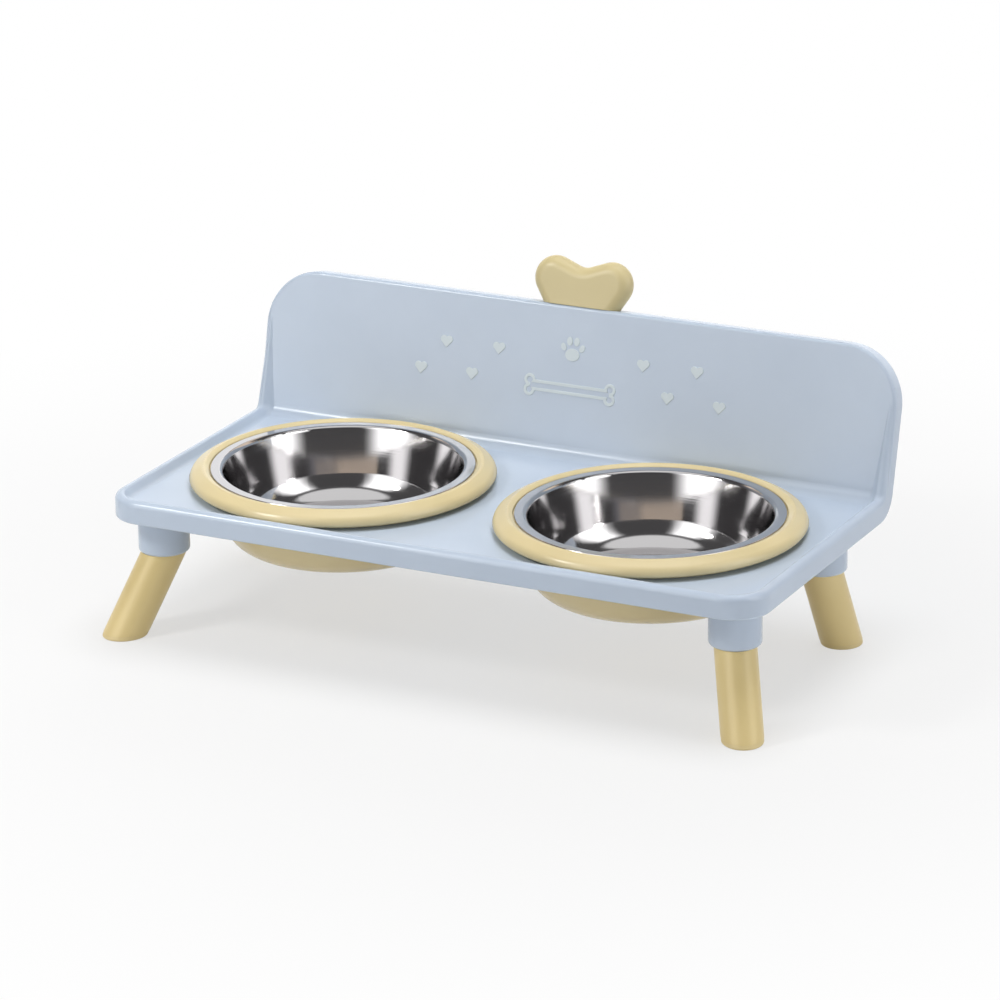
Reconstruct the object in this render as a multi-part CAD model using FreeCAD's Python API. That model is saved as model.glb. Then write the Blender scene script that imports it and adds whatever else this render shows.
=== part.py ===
import FreeCAD, Part
import math
import os

from FreeCAD import Vector

# Raised feeding stand for a small dog or cat, in millimetres.
# A one-piece moulded tray with a splash guard along its back stands on four splayed legs.
# Two plastic holders hang in the tray, and a spun steel bowl hangs in each holder.
# The pieces are modelled about the tray: X to the right, Y to the back, Z up from the tray
# floor, with Y zero on the line through both bowl axes. At the end everything moves so that
# the origin is on the ground, under the middle of the whole stand.

# Steel bowls
BOWL_FLANGE_RADIUS = 65.4
BOWL_FLANGE_WIDTH = 5.0
BOWL_TAPER = 8.4
BOWL_DEPTH = 36.5
BOWL_FOOT_ROUND = 17.0
BOWL_MOUTH_ROUND = 2.2
BOWL_HEM_WIDTH = 2.0
STEEL_THICKNESS = 0.8

# Bowl holders
HOLDER_GAP = 15.4
HOLDER_BOWL_CLEARANCE = 0.6
HOLDER_RIM_WIDTH = 9.8
HOLDER_RIM_HEIGHT = 9.4
HOLDER_CREST_INSET = 7.0
HOLDER_SHOULDER_DROP = 3.4
HOLDER_TUCK_HEIGHT = 2.5
HOLDER_EDGE_DROP = 1.3
HOLDER_SEAT_DEPTH = 1.5
HOLDER_SEAT_WIDTH = 3.0
HOLDER_WALL = 2.2
HOLDER_WALL_GAP = 2.8
HOLDER_FLOOR_GAP = 0.6
HOLDER_CORNER_ROOM = 2.0
RIM_FOOT_CLEARANCE = 0.1

# Tray and splash guard; the margins run from the holders' rims to the edges of the tray
SIDE_MARGIN = 14.5
FRONT_MARGIN = 5.7
REAR_MARGIN = 0.6
TRAY_WALL = 2.6
TRAY_EDGE_DEPTH = 7.8
FRONT_CORNER_RADIUS = 18.5
SPLASH_LEAN = 12.7
SPLASH_HEIGHT = 75.8
SPLASH_CORNER_RADIUS = 29.5
SPLASH_EDGE_DEPTH = 10.5
SPLASH_BEND_RADIUS = 7.2
EDGE_ROUND = 1.8
SKIRT_EDGE_ROUND = 1.2
HOLE_CLEARANCE = 0.6
COLLAR_WALL = 2.2
RIB_THICKNESS = 2.0
RIB_RECESS = 1.0

# Raised lip around the tray, which sinks into the sides of the splash guard
LIP_HEIGHT = 4.0
LIP_WIDTH = 7.8
LIP_CREST_WIDTH = 4.2
LIP_OUTER_ROUND = 3.2
LIP_INNER_ROUND = 1.8
LIP_FOOT_ROUND = 4.0
LIP_FOOT_SINK = 0.15
WING_LENGTH = 57.0
WING_TIP_SCALE = 0.3

# Leg sockets under the tray; the insets run from its sides, its front and the guard's foot
SOCKET_RADIUS = 12.7
SOCKET_WALL = 2.4
SOCKET_DEPTH = 28.0
SOCKET_EDGE_ROUND = 1.8
SOCKET_HEADROOM = 1.0
FRONT_SOCKET_INSET = 24.6
FRONT_SOCKET_SIDE_INSET = 20.4
REAR_SOCKET_INSET = 25.2
REAR_SOCKET_SIDE_INSET = 23.1

# Legs and foot pads; spread and reach are millimetres outward and back per millimetre of drop
LEG_RADIUS = 10.2
LEG_WALL = 2.4
LEG_DROP = 40.2
LEG_PLUG_LENGTH = 20.0
LEG_PLUG_CLEARANCE = 0.3
LEG_SOLID_ROOT = 9.0
FRONT_LEG_SPREAD = 0.319
FRONT_LEG_REACH = -0.494
REAR_LEG_SPREAD = 0.185
REAR_LEG_REACH = 0.231
PAD_THICKNESS = 2.4
PAD_STEP = 0.2
PAD_PLUG_LENGTH = 6.0
PAD_PLUG_CLEARANCE = 0.1
PAD_EDGE_ROUND = 0.8

# Bone-end ornament on top of the splash guard
ORNAMENT_LOBE_RADIUS = 11.2
ORNAMENT_LOBE_OFFSET = 15.4
ORNAMENT_LOBE_HEIGHT = 12.4
ORNAMENT_NOTCH_HEIGHT = 19.2
ORNAMENT_NOTCH_RADIUS = 9.0
ORNAMENT_BASE_WIDTH = 41.6
ORNAMENT_THICKNESS = 8.9
ORNAMENT_SETBACK = 0.4
ORNAMENT_PUFF = 6.0
ORNAMENT_BACK_ROUND = 2.4
ORNAMENT_CUT_ROOM = 1.0
TENON_WIDTH = 7.0
TENON_THICKNESS = 3.2
TENON_LENGTH = 6.0
TENON_OFFSET = 12.0
TENON_CLEARANCE = 0.2

TINY = 1e-6
FULL_TURN = 360
QUARTER_TURN = 90
ABOVE = Vector(0, 0, 1)
ACROSS = Vector(1, 0, 0)
BACKWARD = Vector(0, 1, 0)
LEFT, RIGHT = -1, 1

# Radii of the bowls and holders, from the flange outwards and inwards
bowl_mouth = BOWL_FLANGE_RADIUS - BOWL_FLANGE_WIDTH
bowl_foot = bowl_mouth - BOWL_TAPER
holder_mouth = BOWL_FLANGE_RADIUS + HOLDER_BOWL_CLEARANCE
holder_rim = holder_mouth + HOLDER_RIM_WIDTH
holder_throat = holder_mouth - HOLDER_SEAT_WIDTH
holder_foot = bowl_foot + HOLDER_WALL_GAP + HOLDER_WALL
holder_round = BOWL_FOOT_ROUND - HOLDER_CORNER_ROOM
hole_radius = holder_throat + HOLDER_WALL + HOLE_CLEARANCE
bowl_x = holder_rim + HOLDER_GAP / 2

# Edges of the tray and directions of the splash guard
half_width = bowl_x + holder_rim + SIDE_MARGIN
tray_front = holder_rim + FRONT_MARGIN
splash_foot = holder_rim + REAR_MARGIN
lean = math.radians(SPLASH_LEAN)
splash_up = Vector(0, math.sin(lean), math.cos(lean))
splash_front = Vector(0, -math.cos(lean), math.sin(lean))
splash_root = Vector(0, splash_foot, 0)
bend_run = SPLASH_BEND_RADIUS * math.tan((math.pi / 2 - lean) / 2)
bend_start = splash_foot - bend_run
rim_foot = bend_start - RIM_FOOT_CLEARANCE
far = 2 * half_width
ornament_depth = ORNAMENT_SETBACK + ORNAMENT_THICKNESS / 2

# Levels
rib_bottom = RIB_RECESS - TRAY_EDGE_DEPTH
in_floor = -TRAY_WALL / 2
ground = -(SOCKET_DEPTH + LEG_DROP)
bore_radius = SOCKET_RADIUS - SOCKET_WALL
seat_level = HOLDER_RIM_HEIGHT - HOLDER_EDGE_DROP - HOLDER_SEAT_DEPTH
hem_height = 2 * STEEL_THICKNESS
bowl_bottom = seat_level + hem_height - BOWL_DEPTH
holder_bottom = bowl_bottom - HOLDER_FLOOR_GAP - HOLDER_WALL


def rounded_wire(corners, at):
    """Closed wire through corners (u, v, radius); `at` turns (u, v) into a point in space."""
    points = [Vector(u, v, 0) for u, v, radius in corners]
    arcs = []
    for index, (u, v, radius) in enumerate(corners):
        corner = points[index]
        back = (points[index - 1] - corner).normalize()
        ahead = (points[(index + 1) % len(points)] - corner).normalize()
        half_angle = back.getAngle(ahead) / 2
        reach = radius / math.tan(half_angle)
        middle = corner
        if radius > 0:
            inward = (back + ahead).normalize()
            middle = corner + inward * (radius / math.sin(half_angle) - radius)
        arcs.append((corner + back * reach, middle, corner + ahead * reach, radius))
    edges = []
    for index, (start, middle, end, radius) in enumerate(arcs):
        if radius > 0:
            edges.append(Part.Arc(*[at(p.x, p.y) for p in (start, middle, end)]).toShape())
        following = arcs[(index + 1) % len(arcs)][0]
        if end.distanceToPoint(following) > TINY:
            edges.append(Part.makeLine(at(end.x, end.y), at(following.x, following.y)))
    return Part.Wire(edges)


def rounded_face(corners, at):
    return Part.Face(rounded_wire(corners, at))


def revolve(corners, x):
    """Body of revolution from (radius, height, rounding) corners, about the bowl axis at x."""
    profile = rounded_face(corners, lambda radius, height: Vector(radius, 0, height))
    return profile.revolve(Vector(), ABOVE, FULL_TURN).translate(ACROSS * x)


def on_splash(x, height, depth=0):
    """Point of the splash guard: height up its face from the bend, depth behind the face."""
    return splash_root + ACROSS * x + splash_up * height - splash_front * depth


def block(corner, opposite):
    low = [min(pair) for pair in zip(corner, opposite)]
    size = [abs(a - b) for a, b in zip(corner, opposite)]
    return Part.makeBox(*size, Vector(*low))


def guard_block(x, width, depth, thickness, low, high):
    """Block square to the splash guard, centred on x and depth, between two heights."""
    corners = [
        (x + i * width / 2, depth + j * thickness / 2, 0) for i, j in ((-1, -1), (1, -1), (1, 1), (-1, 1))
    ]
    base = rounded_face(corners, lambda across, behind: on_splash(across, low, behind))
    return base.extrude(splash_up * (high - low))


def cylinder(radius, x, y, bottom, top):
    return Part.makeCylinder(radius, top - bottom, Vector(x, y, bottom), ABOVE)


# Steel bowl: hemmed flange, rounded mouth, sloping wall and rounded foot

def steel_bowl(x):
    top = seat_level + hem_height
    steel = STEEL_THICKNESS
    hem = BOWL_FLANGE_RADIUS - BOWL_HEM_WIDTH
    return revolve([
        (0, bowl_bottom + steel, 0),
        (bowl_foot - steel, bowl_bottom + steel, BOWL_FOOT_ROUND - steel),
        (bowl_mouth - steel, top, BOWL_MOUTH_ROUND),
        (BOWL_FLANGE_RADIUS, top, steel / 2),
        (BOWL_FLANGE_RADIUS, seat_level, steel / 2),
        (hem, seat_level, 0),
        (hem, top - steel, 0),
        (bowl_mouth, top - steel, BOWL_MOUTH_ROUND - steel),
        (bowl_foot, bowl_bottom, BOWL_FOOT_ROUND),
        (0, bowl_bottom, 0),
    ], x)


# Bowl holder: hollow rounded rim that rests on the tray, seat for the bowl's flange, deep dish

def bowl_holder(x):
    wall = HOLDER_WALL
    rim = holder_rim
    crest = rim - HOLDER_CREST_INSET
    shoulder = HOLDER_RIM_HEIGHT - HOLDER_SHOULDER_DROP
    edge = HOLDER_RIM_HEIGHT - HOLDER_EDGE_DROP
    mouth = holder_mouth
    return revolve([
        (0, holder_bottom + wall, 0),
        (holder_foot - wall, holder_bottom + wall, holder_round - wall),
        (holder_throat, seat_level, 0),
        (mouth, seat_level, 0),
        (mouth, edge, wall / 3),
        (crest, HOLDER_RIM_HEIGHT, wall),
        (rim, shoulder, wall * 2),
        (rim, HOLDER_TUCK_HEIGHT, wall),
        (rim_foot, 0, 0),
        (rim_foot - wall, 0, 0),
        (rim - wall, HOLDER_TUCK_HEIGHT, 0),
        (rim - wall, shoulder - wall, 0),
        (crest, HOLDER_RIM_HEIGHT - wall, 0),
        (mouth + wall, edge - wall, 0),
        (mouth + wall, seat_level - wall, 0),
        (holder_throat + wall, seat_level - wall, 0),
        (holder_foot, holder_bottom, holder_round),
        (0, holder_bottom, 0),
    ], x)


# Tray: a bent shell with an edge all round, a raised lip, collars, sockets and ribs

def bent_line(floor_depth, guard_depth):
    """Side view of the tray: a line below the floor that bends up behind the guard's face."""
    offset = floor_depth * (1 - math.sin(lean)) / math.cos(lean)
    corner = splash_root + Vector(0, offset, -floor_depth)
    rise = on_splash(0, SPLASH_HEIGHT, guard_depth) - corner
    top = corner + rise.normalize() * far
    bend = SPLASH_BEND_RADIUS + floor_depth
    return [(-far, corner.z, 0), (corner.y, corner.z, bend), (top.y, top.z, 0)]


def plan_prism(inset):
    """Upright prism of the tray's plan with rounded front corners, open to the back."""
    side = half_width - inset
    front = inset - tray_front
    radius = FRONT_CORNER_RADIUS - inset
    corners = [(-side, far, 0), (-side, front, radius), (side, front, radius), (side, far, 0)]
    return rounded_face(corners, lambda x, y: Vector(x, y, -far)).extrude(ABOVE * (2 * far))


def guard_prism(inset):
    """Prism square to the guard's face, with rounded top corners, open at the bottom."""
    side = half_width - inset
    top = SPLASH_HEIGHT - inset
    radius = SPLASH_CORNER_RADIUS - inset
    corners = [(-side, -far, 0), (-side, top, radius), (side, top, radius), (side, -far, 0)]
    face = rounded_face(corners, lambda x, height: on_splash(x, height, far))
    return face.extrude(splash_front * (2 * far))


def bent_slab(near_line, deep_line, inset):
    """Everything between two bent lines, within the tray's outlines less an inset."""
    face = rounded_face(near_line + deep_line[::-1], lambda y, z: Vector(-far, y, z))
    slab = face.extrude(ACROSS * (2 * far))
    return slab.common(plan_prism(inset)).common(guard_prism(inset))


def upper_edges(slab):
    """Edges between the slab's upper side, floor and guard face, and its outer walls."""
    def on_upper_side(point):
        return abs(point.z) < TINY or abs((point - splash_root).dot(splash_front)) < TINY

    upper_faces = [f for f in slab.Faces if all(on_upper_side(v.Point) for v in f.Vertexes)]
    outline = []
    for face in upper_faces:
        inner = [edge for other in upper_faces if not other.isSame(face) for edge in other.Edges]
        outline += [edge for edge in face.Edges if not any(edge.isSame(e) for e in inner)]
    return outline


def skirt_edges(slab):
    """Lower outer edges of the tray's front and sides; the rounding runs on round the guard."""
    bottom = -TRAY_EDGE_DEPTH
    return [e for e in slab.Edges if e.BoundBox.ZMax < bottom + TINY and e.BoundBox.YMin < 0]


def lip_wire(origin, inward, outward, scale=1, sink=0):
    """Section of the lip: upright outside, rounded crest, sloping inside with a soft foot."""
    base = -EDGE_ROUND - LIP_INNER_ROUND
    toe = LIP_WIDTH + LIP_FOOT_ROUND
    corners = [
        (0, base, 0),
        (0, LIP_HEIGHT, LIP_OUTER_ROUND),
        (LIP_CREST_WIDTH, LIP_HEIGHT, LIP_INNER_ROUND),
        (LIP_WIDTH, -LIP_FOOT_SINK, LIP_FOOT_ROUND),
        (toe, -LIP_FOOT_SINK, 0),
        (toe, base, 0),
    ]

    def place(across, height):
        return origin + inward * (across * scale + sink) + outward * (height * scale - sink)

    return rounded_wire(corners, place)


def lip_runs():
    """The lip follows the edge from one side of the guard round the front to the other."""
    bend_centre = Vector(0, bend_start, SPLASH_BEND_RADIUS)
    corner_start = FRONT_CORNER_RADIUS - tray_front
    corner_x = half_width - FRONT_CORNER_RADIUS
    front = Part.Face(lip_wire(Vector(-corner_x, -tray_front, 0), BACKWARD, ABOVE))
    runs = [front.extrude(ACROSS * (2 * corner_x))]
    for side in (LEFT, RIGHT):
        edge_x = side * half_width
        inward = ACROSS * -side
        straight = Part.Face(lip_wire(Vector(edge_x, bend_start, 0), inward, ABOVE))
        runs.append(straight.extrude(BACKWARD * (corner_start - bend_start)))
        runs.append(straight.revolve(bend_centre, ACROSS, QUARTER_TURN - SPLASH_LEAN))
        corner = Part.Face(lip_wire(Vector(edge_x, corner_start, 0), inward, ABOVE))
        corner_centre = Vector(side * corner_x, corner_start, 0)
        runs.append(corner.revolve(corner_centre, ABOVE, -side * QUARTER_TURN))
        root = lip_wire(on_splash(edge_x, bend_run), inward, splash_front)
        tip_point = on_splash(edge_x, WING_LENGTH)
        tip = lip_wire(tip_point, inward, splash_front, WING_TIP_SCALE, EDGE_ROUND)
        runs.append(Part.makeLoft([root, tip], True, True))
    return runs


def sockets():
    """Place of each leg: name, side, X and Y of its socket, and the way the leg leans."""
    front_x = half_width - FRONT_SOCKET_SIDE_INSET
    front_y = FRONT_SOCKET_INSET - tray_front
    rear_x = half_width - REAR_SOCKET_SIDE_INSET
    rear_y = splash_foot - REAR_SOCKET_INSET
    for side, hand in ((LEFT, "left"), (RIGHT, "right")):
        front_way = Vector(side * FRONT_LEG_SPREAD, FRONT_LEG_REACH, -1)
        rear_way = Vector(side * REAR_LEG_SPREAD, REAR_LEG_REACH, -1)
        yield "front_" + hand, side, side * front_x, front_y, front_way
        yield "rear_" + hand, side, side * rear_x, rear_y, rear_way


def socket_boss(x, y):
    boss = cylinder(SOCKET_RADIUS, x, y, -SOCKET_DEPTH, in_floor)
    foot = [e for e in boss.Edges if e.BoundBox.ZMax < TINY - SOCKET_DEPTH]
    return boss.makeFillet(SOCKET_EDGE_ROUND, foot)


def underside():
    """Collars around the holes, socket bosses, and ribs that tie them to the walls."""
    near_wall = half_width + in_floor
    near_front = -tray_front - in_floor
    half_rib = RIB_THICKNESS / 2
    solids = [block((-half_rib, near_front, rib_bottom), (half_rib, bend_start, in_floor))]
    for side in (LEFT, RIGHT):
        solids.append(cylinder(hole_radius + COLLAR_WALL, side * bowl_x, 0, rib_bottom, in_floor))
    for name, side, x, y, way in sockets():
        solids.append(socket_boss(x, y))
        solids.append(block((x, y - half_rib, rib_bottom), (side * near_wall, y + half_rib, in_floor)))
        if y < 0:
            solids.append(block((x - half_rib, y, rib_bottom), (x + half_rib, near_front, in_floor)))
    return solids


def tray():
    deeper = 2 * (TRAY_EDGE_DEPTH + SPLASH_EDGE_DEPTH)
    floor_line = bent_line(0, 0)
    body = bent_slab(floor_line, bent_line(TRAY_EDGE_DEPTH, SPLASH_EDGE_DEPTH), 0)
    body = body.makeFillet(EDGE_ROUND, upper_edges(body))
    body = body.makeFillet(SKIRT_EDGE_ROUND, skirt_edges(body))
    body = body.multiFuse(lip_runs())
    hollow = bent_slab(bent_line(TRAY_WALL, TRAY_WALL), bent_line(deeper, deeper), TRAY_WALL)
    body = body.cut(hollow).multiFuse(underside())
    cuts = []
    for side in (LEFT, RIGHT):
        cuts.append(cylinder(hole_radius, side * bowl_x, 0, -far, far))
        slot_width = TENON_WIDTH + 2 * TENON_CLEARANCE
        slot_thickness = TENON_THICKNESS + 2 * TENON_CLEARANCE
        slot_low = SPLASH_HEIGHT - 2 * TRAY_WALL
        slot_high = SPLASH_HEIGHT + TRAY_WALL
        slot_x = side * TENON_OFFSET
        cuts.append(guard_block(slot_x, slot_width, ornament_depth, slot_thickness, slot_low, slot_high))
    bore_top = LEG_PLUG_LENGTH + SOCKET_HEADROOM - SOCKET_DEPTH
    for name, side, x, y, way in sockets():
        cuts.append(cylinder(bore_radius, x, y, -far, bore_top))
    return body.cut(cuts).removeSplitter()


# Legs: an upright plug, then a slanted hollow tube cut level, closed by a pad

def slanted(radius, x, y, way, bottom, top):
    """Slanted round bar from the foot of a socket, cut level at bottom and top."""
    root = Vector(x, y, -SOCKET_DEPTH)
    start = root - way * LEG_DROP
    bar = Part.makeCylinder(radius, way.Length * LEG_DROP * 3, start, way)
    return bar.common(block((-far, -far, bottom), (far, far, top)))


def leg(x, y, way):
    tube = slanted(LEG_RADIUS, x, y, way, ground + PAD_THICKNESS, -SOCKET_DEPTH)
    hollow = slanted(LEG_RADIUS - LEG_WALL, x, y, way, ground, -SOCKET_DEPTH - LEG_SOLID_ROOT)
    plug_top = LEG_PLUG_LENGTH - SOCKET_DEPTH
    plug = cylinder(bore_radius - LEG_PLUG_CLEARANCE, x, y, -SOCKET_DEPTH, plug_top)
    return tube.cut(hollow).fuse(plug)


def foot_pad(x, y, way):
    pad_top = ground + PAD_THICKNESS
    pad = slanted(LEG_RADIUS - PAD_STEP, x, y, way, ground, pad_top)
    sole = [e for e in pad.Edges if e.BoundBox.ZMax < ground + TINY]
    pad = pad.makeFillet(PAD_EDGE_ROUND, sole)
    plug_radius = LEG_RADIUS - LEG_WALL - PAD_PLUG_CLEARANCE
    plug = slanted(plug_radius, x, y, way, ground + PAD_THICKNESS / 2, pad_top + PAD_PLUG_LENGTH)
    return pad.fuse(plug).removeSplitter()


# Ornament: two rounded lobes like the end of a bone, with two tenons in the guard's top edge

def bone_outline():
    """Closed wire of both lobes, the notch between them, and sides that run on below the base."""
    radius = ORNAMENT_LOBE_RADIUS
    notch_centre = ORNAMENT_NOTCH_HEIGHT + ORNAMENT_NOTCH_RADIUS
    to_centre = math.atan2(notch_centre - ORNAMENT_LOBE_HEIGHT, -ORNAMENT_LOBE_OFFSET)
    centre_reach = math.hypot(notch_centre - ORNAMENT_LOBE_HEIGHT, ORNAMENT_LOBE_OFFSET)
    to_notch = to_centre - math.acos((radius + ORNAMENT_NOTCH_RADIUS) / centre_reach)

    # The straight side leaves the base at a slope that makes it a tangent of the lobe
    base_half = ORNAMENT_BASE_WIDTH / 2
    to_lobe = math.atan2(ORNAMENT_LOBE_HEIGHT, ORNAMENT_LOBE_OFFSET - base_half)
    base_reach = math.hypot(ORNAMENT_LOBE_HEIGHT, ORNAMENT_LOBE_OFFSET - base_half)
    side_slope = to_lobe - math.asin(radius / base_reach)
    to_side = side_slope - math.pi / 2
    skirt = ORNAMENT_PUFF + ORNAMENT_CUT_ROOM
    low_half = base_half - skirt / math.tan(side_slope)

    def place(x, height):
        return on_splash(x, SPLASH_HEIGHT + height, ORNAMENT_SETBACK)

    def on_lobe(side, angle):
        x = ORNAMENT_LOBE_OFFSET + radius * math.cos(angle)
        return place(side * x, ORNAMENT_LOBE_HEIGHT + radius * math.sin(angle))

    def in_notch(side):
        x = ORNAMENT_NOTCH_RADIUS * math.cos(to_notch)
        return place(-side * x, notch_centre - ORNAMENT_NOTCH_RADIUS * math.sin(to_notch))

    edges = [Part.makeLine(place(-low_half, -skirt), place(low_half, -skirt))]
    for side in (LEFT, RIGHT):
        stations = [on_lobe(side, angle) for angle in (to_side, (to_side + to_notch) / 2, to_notch)]
        edges.append(Part.makeLine(place(side * low_half, -skirt), stations[0]))
        edges.append(Part.Arc(*stations).toShape())
        edges.append(Part.makeLine(stations[-1], in_notch(side)))
    bottom = place(0, ORNAMENT_NOTCH_HEIGHT)
    edges.append(Part.Arc(in_notch(LEFT), bottom, in_notch(RIGHT)).toShape())
    return Part.Wire(Part.__sortEdges__(edges))


def edges_behind_face(body, depth):
    """Edges that lie in one plane behind the guard's face."""
    level = on_splash(0, 0, depth).dot(splash_front)
    return [e for e in body.Edges if all(abs(v.Point.dot(splash_front) - level) < TINY for v in e.Vertexes)]


def bone_ornament():
    body = Part.Face(bone_outline()).extrude(splash_front * -ORNAMENT_THICKNESS)
    body = body.makeFillet(ORNAMENT_PUFF, edges_behind_face(body, ORNAMENT_SETBACK))
    back = edges_behind_face(body, ORNAMENT_SETBACK + ORNAMENT_THICKNESS)
    body = body.makeFillet(ORNAMENT_BACK_ROUND, back)
    body = body.cut(guard_block(0, far, 0, far, 0, SPLASH_HEIGHT))
    tenons = [
        guard_block(
            side * TENON_OFFSET, TENON_WIDTH, ornament_depth, TENON_THICKNESS,
            SPLASH_HEIGHT - TENON_LENGTH, SPLASH_HEIGHT + ORNAMENT_PUFF,
        )
        for side in (LEFT, RIGHT)
    ]
    return body.multiFuse(tenons).removeSplitter()


# All pieces by name, moved onto the ground and written out

pieces = {"tray": tray(), "bone_ornament": bone_ornament()}
for side, hand in ((LEFT, "left"), (RIGHT, "right")):
    pieces[hand + "_bowl_holder"] = bowl_holder(side * bowl_x)
    pieces[hand + "_steel_bowl"] = steel_bowl(side * bowl_x)
for name, side, x, y, way in sockets():
    pieces[name + "_leg"] = leg(x, y, way)
    pieces[name + "_foot_pad"] = foot_pad(x, y, way)

extent = Part.makeCompound(list(pieces.values())).optimalBoundingBox()
to_ground = Vector(-extent.Center.x, -extent.Center.y, -extent.ZMin)
os.makedirs("parts", exist_ok=True)
for name, shape in pieces.items():
    shape.translated(to_ground).exportStep("parts/" + name + ".step")
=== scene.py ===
import math

import bpy
from mathutils import Matrix, Vector


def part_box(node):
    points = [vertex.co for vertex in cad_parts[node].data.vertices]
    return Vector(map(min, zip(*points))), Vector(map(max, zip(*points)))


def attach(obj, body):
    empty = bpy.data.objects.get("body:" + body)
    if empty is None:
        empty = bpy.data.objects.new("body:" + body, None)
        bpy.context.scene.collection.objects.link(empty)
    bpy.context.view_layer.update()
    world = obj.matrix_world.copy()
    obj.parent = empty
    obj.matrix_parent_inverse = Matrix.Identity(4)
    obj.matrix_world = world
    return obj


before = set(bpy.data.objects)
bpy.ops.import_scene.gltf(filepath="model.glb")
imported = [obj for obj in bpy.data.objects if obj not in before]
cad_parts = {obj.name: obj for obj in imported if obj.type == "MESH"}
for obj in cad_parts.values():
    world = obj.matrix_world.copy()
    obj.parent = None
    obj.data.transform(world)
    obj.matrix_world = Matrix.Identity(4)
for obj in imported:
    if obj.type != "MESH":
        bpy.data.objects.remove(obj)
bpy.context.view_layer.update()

# Looks for a raised feeding stand. Metres, with +Z up, the splash guard at +Y and the origin on the ground.

# Camera: where it stands around the two bowls, and the pixel of a square picture that shows their middle
PICTURE_SIZE = 1000.0
LENS_MM = 180.0
SENSOR_MM = 36.0
CAMERA_AZIMUTH = math.radians(26.847)
CAMERA_ELEVATION = math.radians(19.428)
CAMERA_ROLL = math.radians(-0.7605)
CAMERA_DISTANCE = 2.42855
BOWLS_MIDDLE_HEIGHT = 0.0762
BOWLS_MIDDLE_PIXEL = (494.508, 488.006)

# Splash guard: its lean, and how far behind the bowls' axes its face meets the tray floor
GUARD_LEAN = math.radians(12.7)
GUARD_BEHIND_BOWLS = 0.0764
TRAY_FLOOR = 0.0682
holder_low, holder_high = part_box("left_bowl_holder")
BOWLS_Y = (holder_low.y + holder_high.y) / 2

# Raised decoration on the guard's face: places are (across, up the face)
RELIEF_RISE = 0.00035
RELIEF_EDGE_ROUND = 0.0002
RELIEF_EDGE_STEPS = 3
ARC_STEPS = 20

HEART_WIDTH = 0.0064
HEART_LOBE_SHARE = 0.265
HEART_TIP_SHARE = 0.62
HEART_PLACES = [
    (-0.0833, 0.0359), (-0.0701, 0.0507), (-0.0545, 0.0363), (-0.0406, 0.0509),
    (0.0389, 0.0520), (0.0534, 0.0376), (0.0681, 0.0523), (0.0815, 0.0365),
]

# Paw: each oval's place and half sizes as shares of the paw's width, and its turn
PAW_PLACE = (0.0, 0.0535)
PAW_WIDTH = 0.0130
PAW_INNER_TOE = ((0.15, 0.36), (0.105, 0.155), 0.1)
PAW_OUTER_TOE = ((0.39, 0.12), (0.095, 0.14), 0.45)
PAW_PAD = ((0.0, -0.16), (0.29, 0.23), 0.0)

BONE_PLACE = (0.0, 0.0340)
BONE_LENGTH = 0.0500
BONE_LOBE_RADIUS = 0.0029
BONE_LOBE_RISE_SHARE = 0.86
BONE_SHAFT_HEIGHT = 0.0052
BONE_LINE_WIDTH = 0.0012

# Plastics: linear colour, roughness and depth of the mould texture
PLASTICS = {
    "blue_plastic": ((0.505, 0.588, 0.705), 0.22, 0.000008),
    "yellow_plastic": ((0.770, 0.608, 0.280), 0.33, 0.000008),
    # The holders' yellow is a paler copy of the legs' yellow: painted sheen, standing in for the white sky
    # that the upward-facing rings reflect.
    "holder_plastic_painted_sheen": ((0.715, 0.595, 0.330), 0.22, 0.000008),
    "ornament_plastic": ((0.640, 0.540, 0.285), 0.38, 0.000012),
    "pad_rubber": ((0.745, 0.595, 0.290), 0.55, 0.00003),
    "relief_plastic": ((0.640, 0.720, 0.760), 0.42, 0.000012),
}
PLASTIC_IOR = 1.49
CLOUD_SCALE = 22.0
CLOUD_DETAIL = 3.0
CLOUD_TINT = 0.03
GLOSS_SCALE = 60.0
GLOSS_DETAIL = 4.0
GLOSS_SPREAD = 0.04
GRAIN_SCALE = 1800.0
GRAIN_DETAIL = 2.0

# Spun steel: linear colour, and the fine rings that spinning leaves
STEEL = (0.590, 0.580, 0.585)
STEEL_ROUGHNESS = (0.07, 0.12)
STEEL_ANISOTROPY = 0.3
STEEL_ANISOTROPY_TURN = 0.25
RING_SCALE = 1500.0
RING_DETAIL = 3.0
RING_TINT = 0.06
RING_DEPTH = 0.000004

# Studio: light from all round, and a floor that keeps the shadow near the stand
AMBIENT = 0.34
FLOOR_SIZE = 12.0
FLOOR_WHITE = 0.74
FLOOR_ROUGHNESS = 0.9
FLOOR_GLOW_NEAR = 0.58
FLOOR_SHADOW_REACH = (0.12, 0.55)

# Soft boxes: turn and rise in degrees, distance, width, height, power, tint, and if reflections show them
LAMP_AIM_HEIGHT = 0.08
SOFT_BOXES = {
    "left_soft_box": (-42.0, 38.0, 1.0, 0.22, 0.22, 2.9, (1.0, 0.99, 0.97), True),
    "right_soft_box": (84.0, 8.0, 2.0, 0.8, 0.8, 8.0, (0.97, 0.98, 1.0), False),
    "front_soft_box": (-28.0, 4.0, 1.5, 0.7, 0.4, 2.0, (1.0, 1.0, 1.0), False),
    "top_soft_box": (165.0, 80.0, 2.0, 1.3, 1.3, 26.0, (1.0, 1.0, 1.0), False),
    "back_soft_box": (195.0, 22.0, 2.0, 1.0, 0.8, 6.0, (1.0, 1.0, 1.0), False),
}

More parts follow.
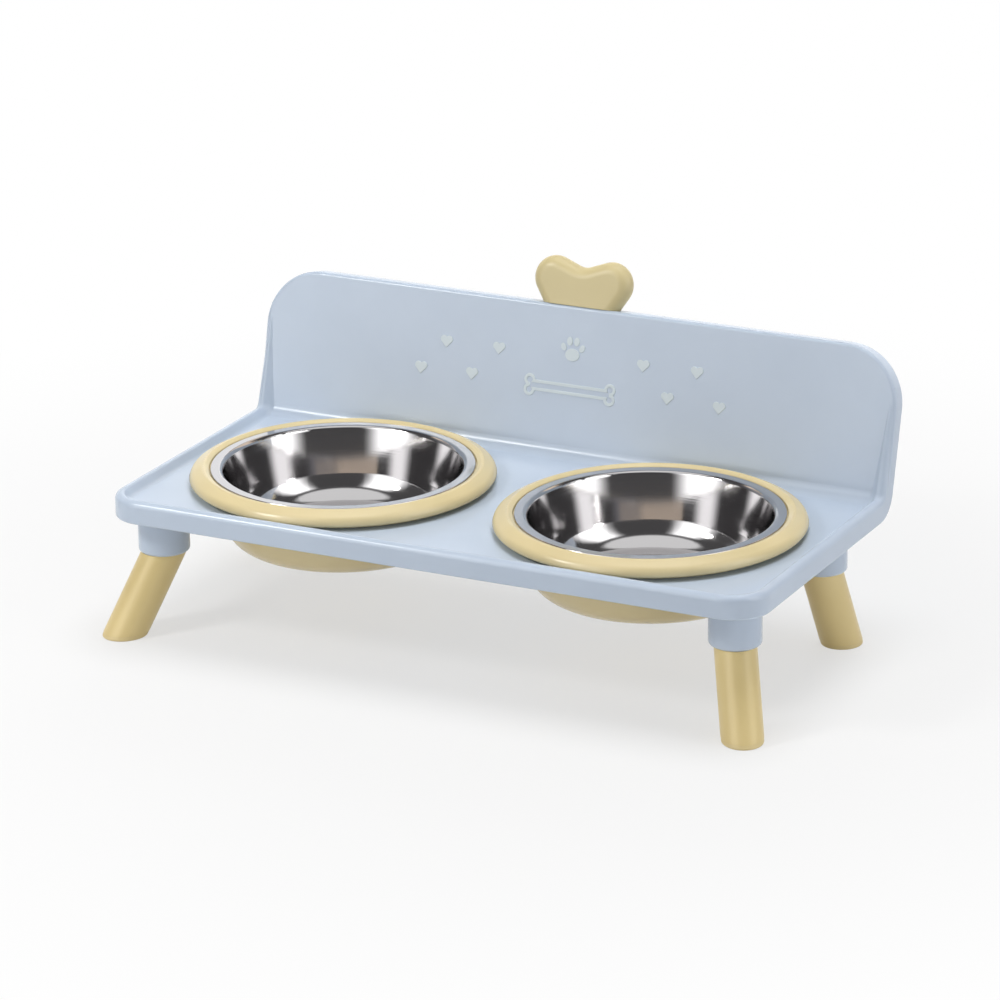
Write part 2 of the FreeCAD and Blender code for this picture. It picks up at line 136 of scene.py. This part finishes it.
# Cards that only reflections show: turns and rises in degrees, colour, distance, and the shares of the width
# and height over which the borders fade
CARD_COLUMNS = 24
CARD_ROWS = 8
CARDS = {
    "dark_room": ((-180.0, 180.0), (-2.0, 66.0), (0.095, 0.093, 0.095), 3.6, (0.001, 0.08)),
    "right_wall": ((112.0, 172.0), (-2.0, 30.0), (0.30, 0.30, 0.31), 3.5, (0.2, 0.1)),
    "left_wall": ((-150.0, -70.0), (-2.0, 40.0), (0.35, 0.35, 0.37), 3.5, (0.3, 0.1)),
    "pale_back": ((150.0, 260.0), (-2.0, 27.0), (1.20, 1.21, 1.23), 3.5, (0.05, 0.1)),
    "warm_back": ((138.0, 268.0), (28.0, 46.0), (1.05, 0.88, 0.71), 3.5, (0.03, 0.1)),
    "left_strip": ((-54.0, 8.0), (-8.0, 60.0), (2.5, 2.5, 2.5), 3.4, (0.4, 0.1)),
    "right_strip": ((62.0, 122.0), (-8.0, 60.0), (2.5, 2.5, 2.5), 3.4, (0.4, 0.1)),
}

WHITE = (1.0, 1.0, 1.0)
BLACK = (0.0, 0.0, 0.0)

# Noise mostly lies in this range
NOISE_LOW = 0.3
NOISE_HIGH = 0.7

# Sockets of the mix node that belong to colours
MIX_SHARE = 0
MIX_FIRST = 6
MIX_SECOND = 7
MIX_RESULT = 2


# Materials

def mix(colour, other, share):
    return tuple(a + (b - a) * share for a, b in zip(colour, other))


class Nodes:
    """The node tree of a material or of the world, with short calls for the nodes used here."""

    def __init__(self, owner):
        owner.use_nodes = True
        self.owner = owner
        self.tree = owner.node_tree

    def named(self, name):
        return self.tree.nodes[name]

    def add(self, kind, inputs=None, **settings):
        node = self.tree.nodes.new(kind)
        for key, value in settings.items():
            setattr(node, key, value)
        self.feed(node, inputs or {})
        return node

    def feed(self, node, inputs):
        for key, value in inputs.items():
            if isinstance(value, bpy.types.NodeSocket):
                self.tree.links.new(value, node.inputs[key])
            else:
                node.inputs[key].default_value = value

    def place(self):
        return self.add("ShaderNodeTexCoord").outputs["Object"]

    def noise(self, scale, detail, place=None):
        inputs = {"Vector": place or self.place(), "Scale": scale, "Detail": detail}
        return self.add("ShaderNodeTexNoise", inputs).outputs["Fac"]

    def span(self, noise, low, high):
        """Maps the usual range of noise to low and high."""
        inputs = {"Value": noise, "From Min": NOISE_LOW, "From Max": NOISE_HIGH}
        inputs.update({"To Min": low, "To Max": high})
        return self.add("ShaderNodeMapRange", inputs).outputs["Result"]

    def blend(self, share, colour, other):
        inputs = {MIX_SHARE: share, MIX_FIRST: (*colour, 1.0), MIX_SECOND: (*other, 1.0)}
        return self.add("ShaderNodeMix", inputs, data_type="RGBA").outputs[MIX_RESULT]

    def bump(self, height, depth):
        inputs = {"Height": height, "Distance": depth, "Strength": 1.0}
        return self.add("ShaderNodeBump", inputs).outputs["Normal"]

    def vector(self, operation, first, second=None):
        inputs = {0: first} if second is None else {0: first, 1: second}
        return self.add("ShaderNodeVectorMath", inputs, operation=operation)

    def math(self, operation, first, second):
        return self.add("ShaderNodeMath", {0: first, 1: second}, operation=operation).outputs[0]

    def mix_shaders(self, share, first, second):
        inputs = {0: share, 1: first.outputs[0], 2: second.outputs[0]}
        return self.add("ShaderNodeMixShader", inputs).outputs[0]


def moulded_plastic(name, colour, roughness, grain):
    """Satin moulded plastic: faint cloudy colour, uneven gloss and a fine mould texture."""
    nodes = Nodes(bpy.data.materials.new(name))
    cloud = nodes.span(nodes.noise(CLOUD_SCALE, CLOUD_DETAIL), 0.0, 1.0)
    deep = mix(colour, BLACK, CLOUD_TINT)
    pale = mix(colour, WHITE, CLOUD_TINT)
    uneven = nodes.noise(GLOSS_SCALE, GLOSS_DETAIL)
    nodes.feed(nodes.named("Principled BSDF"), {
        "Base Color": nodes.blend(cloud, deep, pale),
        "Roughness": nodes.span(uneven, roughness - GLOSS_SPREAD, roughness + GLOSS_SPREAD),
        "IOR": PLASTIC_IOR,
        "Normal": nodes.bump(nodes.noise(GRAIN_SCALE, GRAIN_DETAIL), grain),
    })
    return nodes.owner


def spun_steel(name, axis_x, axis_y):
    """Polished spun steel: fine rings round the bowl's axis that draw the reflections out."""
    nodes = Nodes(bpy.data.materials.new(name))
    place = nodes.place()
    from_axis = nodes.vector("SUBTRACT", place, (axis_x, axis_y, 0.0)).outputs[0]
    flat = nodes.vector("MULTIPLY", from_axis, (1.0, 1.0, 0.0)).outputs[0]
    radius = nodes.vector("LENGTH", flat).outputs["Value"]
    height = nodes.add("ShaderNodeSeparateXYZ", {0: place}).outputs["Z"]
    ring_place = nodes.add("ShaderNodeCombineXYZ", {"X": radius, "Y": height}).outputs[0]
    rings = nodes.noise(RING_SCALE, RING_DETAIL, ring_place)
    tangent = nodes.vector("CROSS_PRODUCT", (0.0, 0.0, 1.0), flat).outputs[0]
    nodes.feed(nodes.named("Principled BSDF"), {
        "Base Color": nodes.blend(rings, mix(STEEL, BLACK, RING_TINT), STEEL),
        "Roughness": nodes.span(rings, *STEEL_ROUGHNESS),
        "Metallic": 1.0,
        "Anisotropic": STEEL_ANISOTROPY,
        "Anisotropic Rotation": STEEL_ANISOTROPY_TURN,
        "Tangent": nodes.vector("NORMALIZE", tangent).outputs[0],
        "Normal": nodes.bump(rings, RING_DEPTH),
    })
    return nodes.owner


plastics = {name: moulded_plastic(name, *look) for name, look in PLASTICS.items()}


def finish_of(node):
    if node == "tray":
        return plastics["blue_plastic"]
    if node.endswith("foot_pad"):
        return plastics["pad_rubber"]
    # The holders get the paler yellow with painted sheen.
    if node.endswith("bowl_holder"):
        return plastics["holder_plastic_painted_sheen"]
    if node == "bone_ornament":
        return plastics["ornament_plastic"]
    if node.endswith("steel_bowl"):
        low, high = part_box(node)
        middle = (low + high) / 2
        return spun_steel(node + "_finish", middle.x, middle.y)
    return plastics["yellow_plastic"]


for name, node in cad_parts.items():
    node.data.materials.clear()
    node.data.materials.append(finish_of(name))


# Raised decoration on the guard's face

def arc(centre, radius, start, end):
    for step in range(ARC_STEPS + 1):
        angle = start + (end - start) * step / ARC_STEPS
        yield (centre[0] + radius * math.cos(angle), centre[1] + radius * math.sin(angle))


def heart_outline(width):
    """Two round lobes whose tangents meet in a tip."""
    radius = HEART_LOBE_SHARE * width
    offset = width / 2 - radius
    tip = HEART_TIP_SHARE * width
    reach = math.hypot(offset, tip)
    dimple = math.pi - math.acos(offset / radius)
    tangent = math.atan2(-tip, -offset) + math.acos(radius / reach)
    right = list(arc((offset, 0.0), radius, dimple, tangent))
    left = [(-x, y) for x, y in reversed(right)]
    return right + [(0.0, -tip)] + left[:-1]


def oval(form, width, side):
    """Turned ellipse of a paw, on its right side (1) or mirrored to its left (-1)."""
    (centre_across, centre_up), (half_width, half_height), lean = form
    turn = -side * lean
    outline = []
    for x, y in list(arc((0.0, 0.0), 1.0, 0.0, 2 * math.pi))[:-1]:
        across = x * half_width * width
        up = y * half_height * width
        outline.append((
            side * centre_across * width + across * math.cos(turn) - up * math.sin(turn),
            centre_up * width + across * math.sin(turn) + up * math.cos(turn),
        ))
    return outline


def paw_outlines(width):
    """Four toes over one broad pad."""
    toes = [oval(toe, width, side) for side in (-1, 1) for toe in (PAW_INNER_TOE, PAW_OUTER_TOE)]
    return toes + [oval(PAW_PAD, width, 1)]


def bone_outline(inset):
    """A plain bone lying across: two lobes at each end of a straight shaft."""
    radius = BONE_LOBE_RADIUS - inset
    rise = BONE_LOBE_RADIUS * BONE_LOBE_RISE_SHARE
    across = BONE_LENGTH / 2 - BONE_LOBE_RADIUS
    shaft = BONE_SHAFT_HEIGHT / 2 - inset
    to_shaft = math.pi + math.asin((rise - shaft) / radius)
    to_notch = -math.asin(rise / radius) if radius > rise else -math.pi / 2
    corner = list(arc((across, rise), radius, to_shaft, to_notch))
    top_left = [(-x, y) for x, y in reversed(corner)]
    bottom_left = [(-x, -y) for x, y in corner]
    bottom_right = [(x, -y) for x, y in reversed(corner)]
    return corner + bottom_right + bottom_left + top_left


def on_guard(place):
    """Frame on the guard's face: X across, Y up the face, Z out of it."""
    across, up = place
    up_face = Vector((0.0, math.sin(GUARD_LEAN), math.cos(GUARD_LEAN)))
    outward = Vector((0.0, -math.cos(GUARD_LEAN), math.sin(GUARD_LEAN)))
    origin = Vector((across, BOWLS_Y + GUARD_BEHIND_BOWLS, TRAY_FLOOR)) + up_face * up
    columns = Matrix((Vector((1.0, 0.0, 0.0)), up_face, outward)).transposed()
    return Matrix.Translation(origin) @ columns.to_4x4()


def relief(name, outlines, place):
    """Thin raised shape with rounded edges, half sunk in the guard's face."""
    curve = bpy.data.curves.new(name + "_outline", "CURVE")
    curve.dimensions = "2D"
    curve.fill_mode = "BOTH"
    curve.extrude = RELIEF_RISE - RELIEF_EDGE_ROUND
    curve.bevel_depth = RELIEF_EDGE_ROUND
    curve.bevel_resolution = RELIEF_EDGE_STEPS
    for outline in outlines:
        spline = curve.splines.new("POLY")
        spline.points.add(len(outline) - 1)
        for point, (x, y) in zip(spline.points, outline):
            point.co = (x, y, 0.0, 1.0)
        spline.use_cyclic_u = True
    shape = bpy.data.objects.new(name + "_curve", curve)
    bpy.context.scene.collection.objects.link(shape)
    bpy.context.view_layer.update()
    mesh = bpy.data.meshes.new_from_object(shape.evaluated_get(bpy.context.evaluated_depsgraph_get()))
    bpy.data.objects.remove(shape)
    piece = bpy.data.objects.new(name, mesh)
    bpy.context.scene.collection.objects.link(piece)
    piece.matrix_world = on_guard(place)
    mesh.materials.clear()
    mesh.materials.append(plastics["relief_plastic"])
    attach(piece, "stand")


for number, place in enumerate(HEART_PLACES, 1):
    relief(f"raised_heart_{number}", [heart_outline(HEART_WIDTH)], place)
relief("raised_paw", paw_outlines(PAW_WIDTH), PAW_PLACE)
relief("raised_bone", [bone_outline(0.0), bone_outline(BONE_LINE_WIDTH)], BONE_PLACE)


# Studio: white floor and surroundings, soft boxes, and cards that only reflections show

def seen_share(nodes):
    """1 for rays from the camera and for mirror and glass rays, else 0."""
    path = nodes.add("ShaderNodeLightPath")
    share = path.outputs["Is Camera Ray"]
    for ray in ("Is Glossy Ray", "Is Transmission Ray"):
        share = nodes.math("MAXIMUM", share, path.outputs[ray])
    return share


def white_world():
    """White to the camera and in reflections, and an even, dimmer light on the stand."""
    world = bpy.data.worlds.new("studio")
    bpy.context.scene.world = world
    nodes = Nodes(world)
    light = nodes.named("Background")
    nodes.feed(light, {"Color": (*WHITE, 1.0), "Strength": AMBIENT})
    white = nodes.add("ShaderNodeBackground", {"Color": (*WHITE, 1.0), "Strength": 1.0})
    both = nodes.mix_shaders(seen_share(nodes), light, white)
    nodes.feed(nodes.named("World Output"), {"Surface": both})


def white_floor():
    """Floor that shows the shadow near the stand and is plain white further out."""
    half = FLOOR_SIZE / 2
    corners = [(-half, -half, 0.0), (half, -half, 0.0), (half, half, 0.0), (-half, half, 0.0)]
    mesh = bpy.data.meshes.new("floor")
    mesh.from_pydata(corners, [], [(0, 1, 2, 3)])
    floor = bpy.data.objects.new("floor", mesh)
    bpy.context.scene.collection.objects.link(floor)
    nodes = Nodes(bpy.data.materials.new("floor_white"))
    shader = nodes.named("Principled BSDF")
    pale = (FLOOR_WHITE, FLOOR_WHITE, FLOOR_WHITE, 1.0)
    nodes.feed(shader, {"Base Color": pale, "Roughness": FLOOR_ROUGHNESS, "Specular IOR Level": 0.0})
    glow = nodes.add("ShaderNodeEmission", {"Color": (*WHITE, 1.0), "Strength": 1.0})
    inputs = {
        "Value": nodes.vector("LENGTH", nodes.place()).outputs["Value"],
        "From Min": FLOOR_SHADOW_REACH[0],
        "From Max": FLOOR_SHADOW_REACH[1],
        "To Min": FLOOR_GLOW_NEAR,
        "To Max": 1.0,
    }
    fade = nodes.add("ShaderNodeMapRange", inputs, interpolation_type="SMOOTHSTEP").outputs["Result"]
    both = nodes.mix_shaders(nodes.math("MULTIPLY", seen_share(nodes), fade), shader, glow)
    nodes.feed(nodes.named("Material Output"), {"Surface": both})
    mesh.materials.append(nodes.owner)


def direction(turn, rise):
    """Unit vector from the object; turn is measured from the front (-Y) towards the right."""
    return Vector((math.sin(turn) * math.cos(rise), -math.cos(turn) * math.cos(rise), math.sin(rise)))


def soft_box(name, turn, rise, distance, width, height, power, tint, shines):
    lamp = bpy.data.lights.new(name, "AREA")
    lamp.shape = "ELLIPSE"
    lamp.size = width
    lamp.size_y = height
    lamp.energy = power
    lamp.color = tint
    box = bpy.data.objects.new(name, lamp)
    bpy.context.scene.collection.objects.link(box)
    way = direction(math.radians(turn), math.radians(rise))
    box.location = way * distance + Vector((0.0, 0.0, LAMP_AIM_HEIGHT))
    box.rotation_euler = way.to_track_quat("Z", "Y").to_euler()
    box.visible_glossy = shines


def card(name, turns, rises, colour, distance, edges):
    """Curved screen round the stand, which only reflections show."""
    points = []
    shares = []
    for column in range(CARD_COLUMNS + 1):
        for row in range(CARD_ROWS + 1):
            across = column / CARD_COLUMNS
            up = row / CARD_ROWS
            turn = math.radians(turns[0] + (turns[1] - turns[0]) * across)
            rise = math.radians(rises[0] + (rises[1] - rises[0]) * up)
            points.append(direction(turn, rise) * distance)
            shares.append((across, up))
    faces = []
    for column in range(CARD_COLUMNS):
        for row in range(CARD_ROWS):
            corner = column * (CARD_ROWS + 1) + row
            next_corner = corner + CARD_ROWS + 1
            faces.append((corner, next_corner, next_corner + 1, corner + 1))
    mesh = bpy.data.meshes.new(name)
    mesh.from_pydata(points, [], faces)
    layer = mesh.uv_layers.new(name="share")
    for loop in mesh.loops:
        layer.data[loop.index].uv = shares[loop.vertex_index]
    screen = bpy.data.objects.new(name, mesh)
    bpy.context.scene.collection.objects.link(screen)
    mesh.materials.append(card_glow(name, colour, edges))
    screen.visible_camera = False
    screen.visible_diffuse = False
    screen.visible_shadow = False
    screen.visible_transmission = False


def card_glow(name, colour, edges):
    """Light of a card, clear at its border and full from the given shares inwards."""
    nodes = Nodes(bpy.data.materials.new(name))
    nodes.tree.nodes.remove(nodes.named("Principled BSDF"))
    split = nodes.add("ShaderNodeSeparateXYZ", {0: nodes.add("ShaderNodeTexCoord").outputs["UV"]})
    soft = []
    for axis, edge in zip("XY", edges):
        far = nodes.math("SUBTRACT", 1.0, split.outputs[axis])
        near = nodes.math("MINIMUM", split.outputs[axis], far)
        inputs = {"Value": near, "From Min": 0.0, "From Max": edge}
        fade = nodes.add("ShaderNodeMapRange", inputs, interpolation_type="SMOOTHSTEP")
        soft.append(fade.outputs["Result"])
    glow = nodes.add("ShaderNodeEmission", {"Color": (*colour, 1.0), "Strength": 1.0})
    clear = nodes.add("ShaderNodeBsdfTransparent")
    both = nodes.mix_shaders(nodes.math("MULTIPLY", *soft), clear, glow)
    nodes.feed(nodes.named("Material Output"), {"Surface": both})
    return nodes.owner


white_world()
white_floor()
for name, setting in SOFT_BOXES.items():
    soft_box(name, *setting)
for name, setting in CARDS.items():
    card(name, *setting)


# Camera

def aim_camera():
    """Stands the camera so that the middle of the bowls falls on its pixel."""
    middle = Vector((0.0, BOWLS_Y, BOWLS_MIDDLE_HEIGHT))
    forward = -direction(CAMERA_AZIMUTH, CAMERA_ELEVATION)
    level = Vector((math.cos(CAMERA_AZIMUTH), math.sin(CAMERA_AZIMUTH), 0.0))
    upright = level.cross(forward)
    right = level * math.cos(CAMERA_ROLL) + upright * math.sin(CAMERA_ROLL)
    up = upright * math.cos(CAMERA_ROLL) - level * math.sin(CAMERA_ROLL)
    per_pixel = SENSOR_MM / LENS_MM / PICTURE_SIZE * CAMERA_DISTANCE
    aside = (BOWLS_MIDDLE_PIXEL[0] - PICTURE_SIZE / 2) * per_pixel
    below = (BOWLS_MIDDLE_PIXEL[1] - PICTURE_SIZE / 2) * per_pixel
    place = middle - right * aside + up * below - forward * CAMERA_DISTANCE
    data = bpy.data.cameras.new("camera")
    data.lens = LENS_MM
    data.sensor_width = SENSOR_MM
    camera = bpy.data.objects.new("camera", data)
    bpy.context.scene.collection.objects.link(camera)
    turn = Matrix((right, up, -forward)).transposed()
    camera.matrix_world = Matrix.Translation(place) @ turn.to_4x4()
    bpy.context.scene.camera = camera


aim_camera()
bpy.context.scene.view_settings.view_transform = "Standard"
